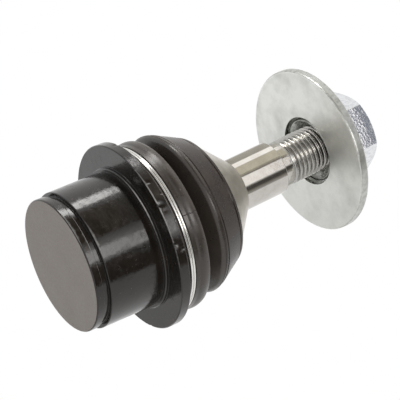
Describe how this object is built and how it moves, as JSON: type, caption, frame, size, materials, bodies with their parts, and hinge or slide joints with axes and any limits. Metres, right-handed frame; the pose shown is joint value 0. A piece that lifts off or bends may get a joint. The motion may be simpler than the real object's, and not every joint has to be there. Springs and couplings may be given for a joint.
{
  "type": "suspension ball joint",
  "caption": "Press-in suspension ball joint: flanged black barrel, rubber boot, straight stud with 45 degree seat cone, captive washer and hex nut.",
  "frame": {"origin": "centre of the ball, on the axis of the press-fit barrel", "axes": "+Z along the barrel's axis, from the closed end to the stud; the stud leans 3 degrees towards +X"},
  "size_m": [0.0565, 0.0558, 0.1058],
  "materials": {
    "black_coat": "satin black electro-coat",
    "seat_plastic": "natural acetal",
    "ring_steel": "plain steel",
    "boot_rubber": "moulded, matte",
    "wire_steel": "bright drawn spring wire",
    "stud_steel": "ground bright",
    "cone_steel": "turned",
    "zinc_plate": "clear zinc plate"
  },
  "bodies": {
    "housing": {"housing": "black_coat", "ball_seat": "seat_plastic", "closing_ring": "ring_steel", "boot_bead": "boot_rubber", "boot_wire_ring": "wire_steel"},
    "boot_middle": {"boot_bellows": "boot_rubber"},
    "boot_collar": {"boot_band": "boot_rubber", "boot_lip_ring": "ring_steel"},
    "stud": {"ball_stud": "stud_steel", "seat_cone": "cone_steel"},
    "washer": {"captive_washer": "zinc_plate"},
    "nut": {"hex_nut": "zinc_plate"}
  },
  "joints": [
    {"name": "stud_tip", "type": "hinge", "parent": "housing", "child": "boot_middle", "pos_m": [0, 0, 0], "axis": [1, 0, 0], "range_deg": [-14, 14], "deforming": ["boot_bellows"]},
    {"name": "stud_swing", "type": "hinge", "parent": "boot_middle", "child": "boot_collar", "pos_m": [0, 0, 0], "axis": [0, 1, 0], "range_deg": [-17, 11], "deforming": ["boot_bellows"]},
    {"name": "stud_spin", "type": "hinge", "parent": "boot_collar", "child": "stud", "pos_m": [0, 0, 0], "axis": [0.0523, 0, 0.9986], "continuous": true},
    {"name": "washer_travel", "type": "slide", "parent": "stud", "child": "washer", "axis": [0.0523, 0, 0.9986], "range_m": [-0.009, 0.012]},
    {"name": "nut_turn", "type": "hinge", "parent": "washer", "child": "nut", "pos_m": [0.00372, 0, 0.0709], "axis": [0.0523, 0, 0.9986], "range_deg": [-2161, 2881]}
  ],
  "couplings": [
    {"joint": "nut_turn", "follows": "washer_travel", "rad_per_m": 4188.8}
  ]
}
